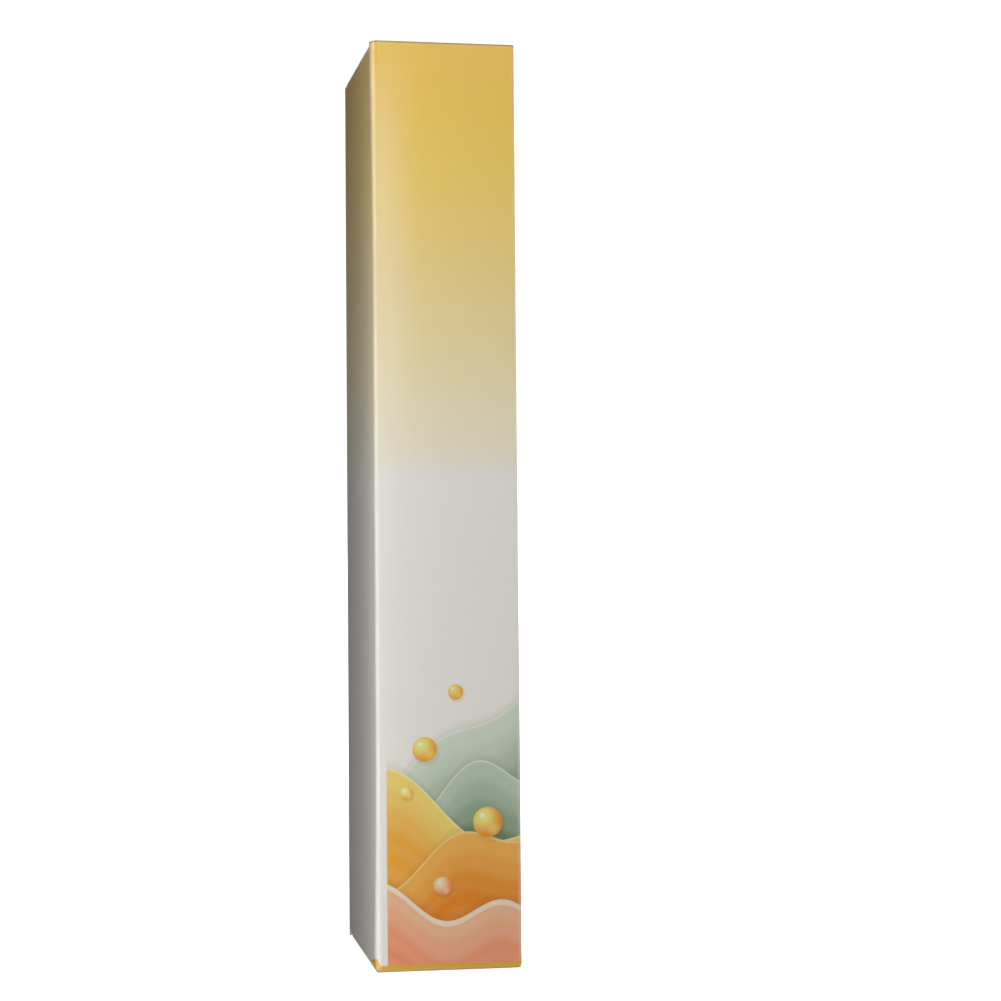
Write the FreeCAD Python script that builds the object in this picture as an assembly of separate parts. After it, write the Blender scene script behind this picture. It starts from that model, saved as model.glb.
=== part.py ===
import FreeCAD, Part
import math
import os

# Reverse-tuck carton with a twist-up oil pen inside, in millimetres.
# Origin at the centre of the base, +Z up, front panel towards -Y, +X to the right.

# Carton board and panels
carton_width = 22.5
carton_depth = 22.5
carton_height = 140.0
board = 0.45
fold_radius = 1.0
glue_flap_width = 8.0
glue_flap_setback = 1.2
glue_flap_taper = 3.0
glue_film = 0.06
seam_setback = 0.3

# Closures at both ends
lid_side_gap = 0.3
flap_gap = 0.06
crease_round = 0.2
tuck_length = 9.2
tuck_gap = 0.9
tuck_side_gap = 0.8
tuck_corner = 3.0
dust_middle_gap = 2.0
dust_corner_gap = 0.25
dust_back_slope_share = 0.75
dust_front_gap = 1.2
dust_front_cut = 3.0

# Pen in the carton
headroom = 10.8
rest_gap = 0.3
seat_gap = 0.03
running_gap = 0.12
end_gap = 0.4

# Barrel, neck and label
barrel_diameter = 14.0
barrel_wall = 1.2
barrel_edge_round = 0.5
front_wall = 2.0
neck_length = 8.0
neck_gap = 0.5
neck_wall = 1.7
neck_bead_height = 0.9
neck_bead_drop = 3.0
label_thickness = 0.08
label_length = 32.0
label_offset = 3.0
label_seam = 0.8

# Cap
cap_length = 27.7
cap_wall = 1.1
cap_gap = 0.3
cap_top_wall = 1.5
cap_top_round = 1.6
liner_height = 2.0

# Brush
nib_flange_height = 1.2
nib_flange_inset = 0.2
nib_shoulder = 1.2
nib_cone_height = 5.0
nib_lip = 0.5
nib_plug_length = 6.0
seal_section = 1.0
feed_diameter = 2.0
feed_wall = 0.4
feed_reach = 2.5
bristle_diameter = 4.2
bristle_pocket = 4.0
bristle_tip_gap = 1.7
bristle_taper_share = 0.5
bristle_tip_radius = 0.5

# Drive
rod_flat_depth = 0.5
rod_gap = 0.15
rod_head_height = 1.6
rod_neck_height = 1.6
rod_neck_inset = 0.6
piston_length = 7.5
piston_lip_height = 1.4
piston_waist = 0.5
piston_crown = 1.2
nut_length = 8.0
nut_chamfer = 0.8
driver_length = 5.0
tube_wall = 1.45
tube_foot_height = 2.0
tail_gap = 0.6

# Knob and click
knob_length = 13.0
knob_gap = 0.4
knob_floor = 1.2
knob_edge_round = 1.0
spigot_length = 4.0
flute_count = 24
flute_radius = 0.55
flute_depth = 0.25
flute_margin = 2.0
band_height = 3.0
band_thickness = 0.4
plug_thickness = 1.2
knob_rim = 2.0
spring_height = 4.0
spring_wire = 0.5
spring_turns = 3
click_height = 2.4
click_width = 1.55
tooth_count = 12
tooth_height = 0.6

overrun = 5.0
same_point = 1e-7

# Levels and radii that several pieces share
side_level = 2 * board + flap_gap
lid_front = -carton_depth / 2 + board + tuck_gap
bore_radius = barrel_diameter / 2 - barrel_wall
cap_bore_radius = barrel_diameter / 2 - cap_wall
neck_radius = cap_bore_radius - neck_gap
neck_bore_radius = neck_radius - neck_wall
pen_base = side_level + rest_gap
pen_top = carton_height - side_level - headroom
barrel_bottom = pen_base + knob_length + knob_gap
barrel_top = pen_top - cap_length - cap_gap
neck_top = barrel_top + neck_length
reservoir_top = barrel_top - front_wall
flange_top = neck_top + nib_flange_height
cone_top = flange_top + nib_cone_height
cap_ceiling = pen_top - cap_top_wall
knob_inside = pen_base + plug_thickness + knob_floor
rod_tail = knob_inside + tail_gap
mechanism = driver_length + end_gap + nut_length + end_gap + piston_length + end_gap
stroke = (reservoir_top - rod_tail - mechanism) / 2
driver_bottom = rod_tail + stroke
driver_top = driver_bottom + driver_length
nut_bottom = driver_top + end_gap
nut_top = nut_bottom + nut_length
piston_bottom = nut_top + end_gap
piston_top = piston_bottom + piston_length
tube_radius = bore_radius - running_gap - click_width - seat_gap
tube_bore_radius = tube_radius - tube_wall
rod_radius = tube_bore_radius - rod_gap
rod_flat = rod_radius - rod_flat_depth
plug_radius = barrel_diameter / 2 - knob_rim
rod_head_top = piston_top - piston_crown - end_gap
spigot_top = barrel_bottom + spigot_length
click_bottom = spigot_top + spring_height
click_top = click_bottom + click_height
ratchet_bottom = click_top + tooth_height + end_gap

origin = FreeCAD.Vector(0, 0, 0)
along_x = FreeCAD.Vector(1, 0, 0)
along_z = FreeCAD.Vector(0, 0, 1)
mid_height = FreeCAD.Vector(0, 0, carton_height / 2)


# Shared construction

def box(low, high):
    """Block between two opposite corners."""
    size = [b - a for a, b in zip(low, high)]
    return Part.makeBox(*size, FreeCAD.Vector(*low))


def corner_arc(before, corner, after):
    """Start, middle and end of the tangent arc that rounds one corner of an outline."""
    at = FreeCAD.Vector(corner[0], corner[1], 0)
    radius = corner[2] if len(corner) > 2 else 0
    if not radius:
        return at, None, at
    back = (FreeCAD.Vector(before[0], before[1], 0) - at).normalize()
    ahead = (FreeCAD.Vector(after[0], after[1], 0) - at).normalize()
    half = back.getAngle(ahead) / 2
    reach = radius / math.tan(half)
    bisector = (back + ahead).normalize()
    middle = at + bisector * (radius / math.sin(half) - radius)
    return at + back * reach, middle, at + ahead * reach


def outline(corners):
    """Closed face through corners (u, v) or (u, v, radius) in the XY plane."""
    count = len(corners)
    arcs = [corner_arc(corners[i - 1], corners[i], corners[(i + 1) % count]) for i in range(count)]
    edges = []
    for i, (start, middle, end) in enumerate(arcs):
        if middle:
            edges.append(Part.Arc(start, middle, end).toShape())
        following = arcs[(i + 1) % count][0]
        if not following.isEqual(end, same_point):
            edges.append(Part.makeLine(end, following))
    return Part.Face(Part.Wire(edges))


def turned(corners):
    """Solid of revolution about Z from an outline in (radius, height)."""
    face = outline(corners)
    face.rotate(origin, along_x, 90)
    return face.revolve(origin, along_z, 360)


def raised(face, bottom, top):
    """Prism from a plan outline between two heights."""
    prism = face.extrude(along_z * (top - bottom))
    prism.translate(along_z * bottom)
    return prism


def ring(inner, outer, bottom, top):
    """Plain ring about the pen's axis."""
    return turned([(inner, bottom), (outer, bottom), (outer, top), (inner, top)])


def at_bottom(shape):
    """Copy of a top closure piece turned end over end, as a reverse-tuck carton has it."""
    copy = shape.copy()
    copy.rotate(mid_height, along_x, 180)
    return copy


def to_right(shape):
    """Copy of a left-hand flap on the right-hand side."""
    return shape.mirror(origin, along_x)


# Carton

def carton_sleeve():
    """One board folded round four panels, ending in a glue flap inside the right panel."""
    half_x = carton_width / 2
    half_y = carton_depth / 2
    seam_x = half_x - board - glue_film
    flap_end = half_y - glue_flap_width
    inner_radius = fold_radius - board
    raw_edge = half_y - seam_setback
    strip = outline([
        (half_x, raw_edge),
        (half_x - board, raw_edge),
        (half_x - board, -half_y + board, inner_radius),
        (-half_x + board, -half_y + board, inner_radius),
        (-half_x + board, half_y - board, inner_radius),
        (seam_x - board, half_y - board, inner_radius),
        (seam_x - board, flap_end),
        (seam_x, flap_end),
        (seam_x, half_y, fold_radius),
        (-half_x, half_y, fold_radius),
        (-half_x, -half_y, fold_radius),
        (half_x, -half_y, fold_radius),
    ])
    sleeve = raised(strip, 0, carton_height)
    over_x = half_x + overrun
    over_y = half_y + overrun
    fold_y = half_y - fold_radius
    lid_cut = box((-over_x, -fold_y, carton_height - board), (over_x, over_y, carton_height + overrun))
    side_reach = half_x - fold_radius - board
    side_low = carton_height - side_level
    left_cut = box((-over_x, -fold_y, side_low), (-side_reach, fold_y, carton_height + overrun))
    flap_z = side_level + glue_flap_setback
    flap_slope = flap_z + glue_flap_taper
    flap_ends = Part.makePolygon([FreeCAD.Vector(0, y, z) for y, z in (
        (raw_edge - fold_radius, flap_z),
        (flap_end - overrun, flap_slope + glue_flap_taper * overrun / glue_flap_width),
        (flap_end - overrun, -overrun),
        (raw_edge - fold_radius, -overrun),
        (raw_edge - fold_radius, flap_z),
    )])
    flap_cut = Part.Face(flap_ends).extrude(along_x * (2 * board))
    flap_cut.translate(along_x * (half_x - board - glue_film / 2 - 2 * board))
    flap_cut_top = flap_cut.mirror(mid_height, along_z)
    cuts = [lid_cut, at_bottom(lid_cut), left_cut, at_bottom(left_cut), to_right(left_cut)]
    cuts += [to_right(at_bottom(left_cut)), flap_cut, flap_cut_top]
    return sleeve.cut(cuts)


def seam_glue():
    """Adhesive film between the glue flap and the right panel."""
    outer = carton_width / 2 - board
    flap_front = carton_depth / 2 - glue_flap_width
    flap_back = carton_depth / 2 - fold_radius - board
    end = side_level + glue_flap_setback + glue_flap_taper
    return box((outer - glue_film, flap_front, end), (outer, flap_back, carton_height - end))


def top_lid():
    """Closure panel, creased to the back panel, with its front edge rounded over to the tuck."""
    half_x = carton_width / 2 - lid_side_gap
    low = carton_height - board
    profile = outline([
        (lid_front, low),
        (carton_depth / 2, low),
        (carton_depth / 2, carton_height, crease_round),
        (lid_front, carton_height, crease_round),
    ])
    return across(profile, half_x)


def across(face, half_x):
    """Panel from an outline in (y, z), reaching equally to both sides."""
    face.rotate(origin, FreeCAD.Vector(1, 1, 1), 120)
    face.translate(along_x * -half_x)
    return face.extrude(along_x * (2 * half_x))


def top_tuck():
    """Tuck flap behind the front panel, with rounded corners at its free edge."""
    half_x = carton_width / 2 - board - tuck_side_gap
    high = carton_height - board
    low = carton_height - tuck_length
    face = outline([
        (-half_x, high),
        (-half_x, low, tuck_corner),
        (half_x, low, tuck_corner),
        (half_x, high),
    ])
    face.rotate(origin, along_x, 90)
    face.translate(FreeCAD.Vector(0, lid_front, 0))
    return face.extrude(FreeCAD.Vector(0, board, 0))


def top_dust_left():
    """Dust flap under the lid, cut away towards the lid's crease and the tuck so that it swings clear."""
    root = -carton_width / 2
    tip = -dust_middle_gap / 2
    reach = tip - root
    back = carton_depth / 2 - fold_radius - dust_corner_gap
    front = lid_front + board + dust_front_gap
    face = outline([
        (root, front),
        (tip - dust_front_cut, front),
        (tip, front + dust_front_cut),
        (tip, back - reach * dust_back_slope_share),
        (root, back),
    ])
    top = carton_height - board - flap_gap
    plate = outline([
        (root, top, crease_round),
        (root, top - board),
        (tip, top - board),
        (tip, top),
    ])
    plate.rotate(origin, along_x, 90)
    plate.translate(FreeCAD.Vector(0, back, 0))
    plate = plate.extrude(FreeCAD.Vector(0, front - back, 0))
    return plate.common(raised(face, top - board, top))


# Pen barrel and brush

def pen_barrel():
    """Barrel with the reservoir bore and a stepped neck that the cap grips by a bead."""
    radius = barrel_diameter / 2
    bead_radius = cap_bore_radius - running_gap
    bead_top = neck_top - neck_bead_drop
    bead_bottom = bead_top - neck_bead_height
    bead_rise = bead_radius - neck_radius
    return turned([
        (bore_radius, barrel_bottom),
        (radius, barrel_bottom, barrel_edge_round),
        (radius, barrel_top, barrel_edge_round),
        (neck_radius, barrel_top),
        (neck_radius, bead_bottom - bead_rise),
        (bead_radius, bead_bottom),
        (bead_radius, bead_top),
        (neck_radius, bead_top + bead_rise),
        (neck_radius, neck_top),
        (neck_bore_radius, neck_top),
        (neck_bore_radius, reservoir_top),
        (bore_radius, reservoir_top, barrel_edge_round),
    ])


def barrel_label():
    """Film label wrapped round the barrel, with a narrow seam at the back."""
    inner = barrel_diameter / 2 + seat_gap
    outer = inner + label_thickness
    bottom = barrel_bottom + label_offset
    seam = box((-label_seam / 2, 0, bottom - overrun), (label_seam / 2, outer + overrun, pen_top))
    return ring(inner, outer, bottom, bottom + label_length).cut(seam)


def brush_nib():
    """Brush holder: plug with a seal groove, flange on the neck and a cone round the bristles."""
    plug = neck_bore_radius - seat_gap
    flange = neck_radius - nib_flange_inset
    groove = plug - seal_section - seat_gap
    groove_half = seal_section / 2 + seat_gap
    plug_bottom = neck_top - nib_plug_length
    seal_level = neck_top - nib_plug_length / 2
    pocket = bristle_diameter / 2 + seat_gap
    feed = feed_diameter / 2 + seat_gap
    return turned([
        (feed, plug_bottom),
        (plug, plug_bottom),
        (plug, seal_level - groove_half),
        (groove, seal_level - groove_half),
        (groove, seal_level + groove_half),
        (plug, seal_level + groove_half),
        (plug, neck_top),
        (flange, neck_top),
        (flange, flange_top),
        (flange - nib_shoulder, flange_top),
        (pocket + nib_lip, cone_top),
        (pocket, cone_top),
        (pocket, cone_top - bristle_pocket),
        (feed, cone_top - bristle_pocket),
    ])


def nib_seal():
    """O-ring in the nib's groove."""
    middle = neck_bore_radius - 2 * seat_gap - seal_section / 2
    level = FreeCAD.Vector(0, 0, neck_top - nib_plug_length / 2)
    return Part.makeTorus(middle, seal_section / 2, level)


def feed_tube():
    """Thin tube that leads the oil from the reservoir into the bristles."""
    outer = feed_diameter / 2
    bottom = neck_top - nib_plug_length
    return ring(outer - feed_wall, outer, bottom, cone_top - bristle_pocket + feed_reach)


def brush_bristles():
    """Bundle of bristles round the feed tube, drawn in to a soft point."""
    radius = bristle_diameter / 2
    bottom = cone_top - bristle_pocket + seat_gap
    tip = cap_ceiling - bristle_tip_gap
    feed = feed_diameter / 2 + seat_gap
    feed_top = cone_top - bristle_pocket + feed_reach + seat_gap
    shoulder = tip - (tip - cone_top) * bristle_taper_share
    return turned([
        (feed, bottom),
        (radius, bottom),
        (radius, shoulder, bristle_diameter),
        (bristle_tip_radius, tip, bristle_tip_radius / 2),
        (0, tip),
        (0, feed_top),
        (feed, feed_top),
    ])


def oil_charge():
    """The oil between the piston and the barrel's front wall."""
    radius = bore_radius - seat_gap
    return ring(0, radius, piston_top + seat_gap, reservoir_top - barrel_edge_round)


# Cap

def pen_cap():
    """Clear cap with a rounded top, closing over the brush and the neck."""
    radius = barrel_diameter / 2
    bottom = barrel_top + cap_gap
    return turned([
        (cap_bore_radius, bottom),
        (radius, bottom),
        (radius, pen_top, cap_top_round),
        (0, pen_top),
        (0, cap_ceiling),
        (cap_bore_radius, cap_ceiling, cap_top_wall),
    ])


def cap_liner():
    """Soft ring in the cap that closes on the nib's flange."""
    inner = neck_radius - nib_flange_inset - nib_shoulder + running_gap
    bottom = flange_top + seat_gap
    return ring(inner, cap_bore_radius - seat_gap, bottom, bottom + liner_height)


# Drive

def rod_section(gap):
    """Round section with two flats, grown by a gap all round."""
    half = rod_flat + gap
    radius = rod_radius + gap
    disc = Part.Face(Part.Wire(Part.makeCircle(radius)))
    slab = Part.makePlane(2 * radius, 2 * half, FreeCAD.Vector(-radius, -half, 0))
    return disc.common(slab).Faces[0]


def piston_rod():
    """Screw rod with two flats, ending in a button head that snaps into the piston."""
    neck_bottom = rod_head_top - rod_head_height - rod_neck_height
    shank = raised(rod_section(0), rod_tail, neck_bottom)
    neck = rod_flat - rod_neck_inset
    head = rod_flat
    button = turned([
        (0, neck_bottom),
        (neck, neck_bottom),
        (neck, neck_bottom + rod_neck_height),
        (head, neck_bottom + rod_neck_height),
        (head, rod_head_top, rod_neck_inset),
        (0, rod_head_top),
    ])
    return shank.fuse(button)


def piston():
    """Piston with two sealing lips, a waist between them and a socket for the rod's head."""
    lip = bore_radius - running_gap
    waist = lip - piston_waist
    socket = rod_flat + rod_gap
    catch = rod_flat - rod_neck_inset + rod_gap
    head_bottom = rod_head_top - rod_head_height - rod_gap
    catch_bottom = head_bottom - rod_neck_height + 2 * rod_gap
    return turned([
        (rod_radius + rod_gap, piston_bottom),
        (lip, piston_bottom),
        (lip, piston_bottom + piston_lip_height),
        (waist, piston_bottom + piston_lip_height + piston_waist),
        (waist, piston_top - piston_lip_height - piston_waist),
        (lip, piston_top - piston_lip_height),
        (lip, piston_top),
        (0, piston_top),
        (0, rod_head_top + rod_gap),
        (socket, rod_head_top + rod_gap),
        (socket, head_bottom),
        (catch, head_bottom),
        (catch, catch_bottom),
        (rod_radius + rod_gap, catch_bottom),
    ])


def drive_nut():
    """Nut fixed in the barrel, through which the rod screws forward."""
    outer = bore_radius - seat_gap
    bore = rod_radius + rod_gap
    return turned([
        (bore, nut_bottom),
        (outer, nut_bottom),
        (outer, nut_top - nut_chamfer),
        (outer - nut_chamfer, nut_top),
        (bore, nut_top),
    ])


def drive_tube():
    """Tube seated in the knob, with a flatted hole at its top that turns the rod."""
    foot = tube_radius + tube_wall / 2
    tube = turned([
        (0, knob_inside),
        (foot, knob_inside),
        (foot, knob_inside + tube_foot_height),
        (tube_radius, knob_inside + tube_foot_height),
        (tube_radius, driver_top),
        (0, driver_top),
    ])
    well = ring(0, tube_bore_radius, knob_inside - overrun, driver_bottom)
    hole = raised(rod_section(rod_gap), driver_bottom - overrun, driver_top + overrun)
    key = box((-tube_radius, -tube_radius, click_bottom), (tube_radius, -tube_key(), driver_top))
    flats = [key, key.rotated(origin, along_z, 180)]
    return tube.cut([well, hole] + flats)


def tube_key():
    """Distance of the drive tube's two key flats from its axis."""
    return tube_radius - tube_wall / 2


# Knob and click

def twist_knob():
    """Fluted twist end with a spigot that turns in the barrel's rear bore."""
    radius = barrel_diameter / 2
    spigot = bore_radius - running_gap
    bore = tube_radius + tube_wall / 2 + seat_gap
    top = pen_base + knob_length
    band = radius - band_thickness - seat_gap
    band_bottom = top - band_height
    plug = plug_radius + seat_gap
    knob = turned([
        (0, pen_base + plug_thickness),
        (plug, pen_base + plug_thickness),
        (plug, pen_base),
        (radius, pen_base, knob_edge_round),
        (radius, band_bottom),
        (band, band_bottom),
        (band, top),
        (spigot, top),
        (spigot, spigot_top),
        (bore, spigot_top),
        (bore, knob_inside),
        (0, knob_inside),
    ])
    flute_low = pen_base + flute_margin
    flute_high = band_bottom - flute_margin
    reach = radius + flute_radius - flute_depth
    flute = Part.makeCylinder(flute_radius, flute_high - flute_low, FreeCAD.Vector(reach, 0, flute_low))
    flutes = [flute.rotated(origin, along_z, 360 * i / flute_count) for i in range(flute_count)]
    return knob.cut(flutes)


def knob_band():
    """Metal trim band pressed on the knob beside the barrel."""
    radius = barrel_diameter / 2
    top = pen_base + knob_length
    return ring(radius - band_thickness, radius, top - band_height, top)


def knob_plug():
    """End disc pressed into the foot of the knob."""
    return ring(0, plug_radius, pen_base, pen_base + plug_thickness)


def face_teeth(inner, outer, level):
    """Ring of saw teeth standing on a level."""
    pitch = 2 * outer * math.sin(math.pi / tooth_count)
    corners = [(-pitch / 2, 0), (pitch / 2, 0), (pitch / 2, tooth_height)]
    corners.append(corners[0])
    ramp = Part.Face(Part.makePolygon([FreeCAD.Vector(inner - pitch, u, level + v) for u, v in corners]))
    tooth = ramp.extrude(along_x * (outer - inner + 2 * pitch))
    tooth = tooth.common(ring(inner, outer, level, level + tooth_height))
    teeth = [tooth.rotated(origin, along_z, 360 * i / tooth_count) for i in range(tooth_count)]
    return teeth[0].fuse(teeth[1:])


def ratchet_ring():
    """Ring fixed in the barrel, with click teeth on its lower face."""
    inner = tube_radius + running_gap
    outer = bore_radius - seat_gap
    teeth_level = ratchet_bottom + tooth_height
    teeth = face_teeth(inner, outer, teeth_level)
    teeth.rotate(along_z * teeth_level, along_x, 180)
    return ring(inner, outer, teeth_level, teeth_level + click_height).fuse(teeth)


def click_ring():
    """Ring keyed to the drive tube, with click teeth on its upper face."""
    inner = tube_radius + seat_gap
    outer = bore_radius - running_gap
    body = ring(inner, outer, click_bottom, click_top).fuse(face_teeth(inner, outer, click_top))
    key = box((-inner, tube_key() + seat_gap, click_bottom), (inner, inner, click_top))
    key = key.common(ring(0, inner, click_bottom, click_top))
    return body.fuse([key, key.rotated(origin, along_z, 180)])


def biarc(start, start_way, end, end_way):
    """Two tangent arcs from one point and direction to another."""
    span = end - start
    ways = start_way + end_way
    slack = 2 * (1 - start_way.dot(end_way))
    lean = span.dot(ways)
    reach = (math.sqrt(lean * lean + slack * span.dot(span)) - lean) / slack
    first = start + start_way * reach
    last = end - end_way * reach
    middle = (first + last) / 2
    return [tangent_arc(start, first, middle), tangent_arc(middle, last, end)]


def tangent_arc(start, pole, end):
    """Arc between two points whose tangents meet at the pole."""
    chord = (start + end) / 2
    angle = (pole - start).getAngle(end - start)
    share = math.tan(angle / 2) / math.tan(angle)
    return Part.Arc(start, chord + (pole - chord) * share, end).toShape()


def click_spring():
    """Compression spring between the knob's spigot and the click ring."""
    radius = (tube_radius + bore_radius) / 2
    low = spigot_top + spring_wire / 2 + seat_gap
    high = click_bottom - spring_wire / 2 - seat_gap
    rise = (high - low) / (2 * math.pi * spring_turns)

    def place(angle):
        return FreeCAD.Vector(radius * math.cos(angle), radius * math.sin(angle), low + rise * angle)

    def way(angle):
        return FreeCAD.Vector(-radius * math.sin(angle), radius * math.cos(angle), rise).normalize()

    quarter = math.pi / 2
    edges = []
    for i in range(4 * spring_turns):
        edges += biarc(place(quarter * i), way(quarter * i), place(quarter * (i + 1)), way(quarter * (i + 1)))
    section = Part.Wire(Part.makeCircle(spring_wire / 2, place(0), way(0)))
    gap = 2 * math.pi * rise - spring_wire
    print("spring turn gap", round(gap, 2))
    return Part.Wire(edges).makePipeShell([section], True)


pieces = {
    "carton_sleeve": carton_sleeve(),
    "seam_glue": seam_glue(),
    "top_lid": top_lid(),
    "top_tuck": top_tuck(),
    "top_dust_left": top_dust_left(),
    "top_dust_right": to_right(top_dust_left()),
    "bottom_lid": at_bottom(top_lid()),
    "bottom_tuck": at_bottom(top_tuck()),
    "bottom_dust_left": at_bottom(top_dust_left()),
    "bottom_dust_right": at_bottom(to_right(top_dust_left())),
    "pen_barrel": pen_barrel(),
    "barrel_label": barrel_label(),
    "brush_nib": brush_nib(),
    "nib_seal": nib_seal(),
    "feed_tube": feed_tube(),
    "brush_bristles": brush_bristles(),
    "oil_charge": oil_charge(),
    "pen_cap": pen_cap(),
    "cap_liner": cap_liner(),
    "piston_rod": piston_rod(),
    "piston": piston(),
    "drive_nut": drive_nut(),
    "drive_tube": drive_tube(),
    "twist_knob": twist_knob(),
    "knob_band": knob_band(),
    "knob_plug": knob_plug(),
    "ratchet_ring": ratchet_ring(),
    "click_ring": click_ring(),
    "click_spring": click_spring(),
}

os.makedirs("parts", exist_ok=True)
for name, shape in pieces.items():
    solid = shape.removeSplitter()
    print(name, "solids", len(solid.Solids), "valid", solid.isValid(), "volume", round(solid.Volume, 2))
    solid.exportStep(f"parts/{name}.step")
print("stroke", round(stroke, 3), "pen from", round(pen_base, 2), "to", round(pen_top, 2))
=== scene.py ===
import math
import random
import bmesh
import bpy
from mathutils import Matrix, Vector


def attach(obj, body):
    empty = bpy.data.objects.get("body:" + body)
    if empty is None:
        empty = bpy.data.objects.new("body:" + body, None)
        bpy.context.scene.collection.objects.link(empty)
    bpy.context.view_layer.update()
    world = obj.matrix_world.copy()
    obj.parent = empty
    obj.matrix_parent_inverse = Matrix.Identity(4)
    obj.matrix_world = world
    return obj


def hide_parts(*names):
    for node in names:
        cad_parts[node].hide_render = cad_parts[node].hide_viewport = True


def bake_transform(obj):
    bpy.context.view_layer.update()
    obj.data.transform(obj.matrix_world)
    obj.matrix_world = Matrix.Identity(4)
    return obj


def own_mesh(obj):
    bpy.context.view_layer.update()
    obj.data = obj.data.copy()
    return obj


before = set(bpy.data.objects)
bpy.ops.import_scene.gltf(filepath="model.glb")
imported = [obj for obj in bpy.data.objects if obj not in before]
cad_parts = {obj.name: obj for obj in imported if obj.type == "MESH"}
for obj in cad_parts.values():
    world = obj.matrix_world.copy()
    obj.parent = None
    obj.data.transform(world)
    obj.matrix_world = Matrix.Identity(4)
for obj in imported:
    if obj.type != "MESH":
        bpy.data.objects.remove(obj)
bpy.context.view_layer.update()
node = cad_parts


# Photo table: a round sheet of matt white card with its rim swept up into a wall. Only the camera
# sees it, so it neither tints the carton nor lifts its shaded side. Its underside is clear, so
# that the base of the carton can be looked at from below.
table_radius = 1.6
table_wall = 1.6
table_sweep = 0.8
table_drop = 0.0002


def add(tree, kind, sockets=(), **settings):
    """New shader node, with its settings made and its inputs linked or given a value."""
    made = tree.nodes.new("ShaderNode" + kind)
    for name, value in settings.items():
        setattr(made, name, value)
    for socket, value in dict(sockets).items():
        feed(tree, made.inputs[socket], value)
    return made


def feed(tree, socket, value):
    """Links an output to an input, or sets the input to a plain value."""
    if isinstance(value, bpy.types.NodeSocket):
        tree.links.new(value, socket)
    elif socket.type == "RGBA" and len(value) == 3:
        socket.default_value = (*value, 1.0)
    else:
        socket.default_value = value


def new_finish(name):
    """Material with an empty node tree and its output node."""
    finish = bpy.data.materials.new(name)
    finish.use_nodes = True
    finish.node_tree.nodes.clear()
    return finish, finish.node_tree, finish.node_tree.nodes.new("ShaderNodeOutputMaterial")


def new_piece(name, shape, *finishes):
    """Object at the origin from a finished bmesh, which is freed."""
    mesh = bpy.data.meshes.new(name)
    shape.to_mesh(mesh)
    shape.free()
    for finish in finishes:
        mesh.materials.append(finish)
    piece = bpy.data.objects.new(name, mesh)
    bpy.context.scene.collection.objects.link(piece)
    return piece


table_card, tree, out = new_finish("table_card")
mottle = add(tree, "TexNoise", {"Scale": 900.0, "Detail": 3.0})
card_tone = add(tree, "ValToRGB", {"Fac": mottle.outputs["Fac"]})
card_tone.color_ramp.elements[0].color = (0.86, 0.86, 0.86, 1.0)
card_tone.color_ramp.elements[1].color = (0.92, 0.92, 0.92, 1.0)
card = add(tree, "BsdfPrincipled", {
    "Base Color": card_tone.outputs["Color"],
    "Roughness": 0.9,
    "Emission Color": (1.0, 1.0, 1.0),
    "Emission Strength": 0.95,
})
side = add(tree, "NewGeometry")
clear = add(tree, "BsdfTransparent")
seen = add(tree, "MixShader", {0: side.outputs["Backfacing"], 1: card.outputs[0], 2: clear.outputs[0]})
tree.links.new(seen.outputs[0], out.inputs["Surface"])

shape = bmesh.new()
bmesh.ops.create_circle(shape, cap_ends=True, segments=96, radius=table_radius)
rim = [edge for edge in shape.edges if edge.is_boundary]
wall = bmesh.ops.extrude_edge_only(shape, edges=rim)
top = [part for part in wall["geom"] if isinstance(part, bmesh.types.BMVert)]
bmesh.ops.translate(shape, verts=top, vec=(0, 0, table_wall))
bmesh.ops.bevel(
    shape, geom=rim, offset=table_sweep, affect="EDGES", segments=12, profile=0.5, material=-1)
bmesh.ops.translate(shape, verts=shape.verts, vec=(0, 0, -table_drop))
bmesh.ops.recalc_face_normals(shape, faces=shape.faces)
widest = max(shape.faces, key=lambda face: face.calc_area())
if widest.normal.z < 0:
    bmesh.ops.reverse_faces(shape, faces=shape.faces)
table = new_piece("photo_table", shape, table_card)
table.visible_diffuse = False
table.visible_glossy = False
table.visible_shadow = False


# Studio light: a large soft box high in front, two slim strips at the left that shade the narrow
# panel and draw a line of light down its fold, a weak strip that evens the front at the right, a
# small box that lays a sheen on the film, and soft boxes for the other sides. The room is a dim
# warm grey, which the camera sees as white.

def soft_box(name, place, aim, width, height, watts):
    """Rectangular light, turned towards a point and hidden from the camera."""
    lamp = bpy.data.lights.new(name, "AREA")
    lamp.shape = "RECTANGLE"
    lamp.size = width
    lamp.size_y = height
    lamp.energy = watts
    held = bpy.data.objects.new(name, lamp)
    held.location = place
    held.rotation_euler = (Vector(aim) - Vector(place)).to_track_quat("-Z", "Y").to_euler()
    held.visible_camera = False
    bpy.context.scene.collection.objects.link(held)
    return held


middle = (0.0, 0.0, 0.07)
soft_box("key_box", (0.22, -0.85, 0.80), middle, 0.7, 0.7, 7.4)
soft_box("right_strip", (0.060, -0.050, 0.065), (0.0, -0.011, 0.065), 0.02, 0.25, 0.018)
soft_box("near_strip", (-0.0846, -0.0927, 0.055), (-0.011, -0.011, 0.055), 0.03, 0.25, 0.052)
soft_box("sheen_box", (0.05, -0.60, 0.21), (0.0, 0.0, 0.11), 0.12, 0.14, 0.10)
soft_box("back_box", (0.48, 0.80, 0.40), middle, 0.5, 0.7, 6.0)
soft_box("right_box", (0.80, 0.34, 0.35), middle, 0.5, 0.7, 3.4)
soft_box("top_box", (0.05, 0.16, 0.95), middle, 0.5, 0.5, 2.0)
foot_box = soft_box("foot_box", (0.12, 0.18, -0.60), middle, 0.4, 0.4, 2.0)
foot_box.visible_glossy = False
soft_box("side_strip", (-0.030, -0.020, 0.065), (-0.011, -0.006, 0.065), 0.006, 0.20, 0.0108)
room = bpy.data.worlds.new("studio_room")
room.use_nodes = True
tree = room.node_tree
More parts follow.
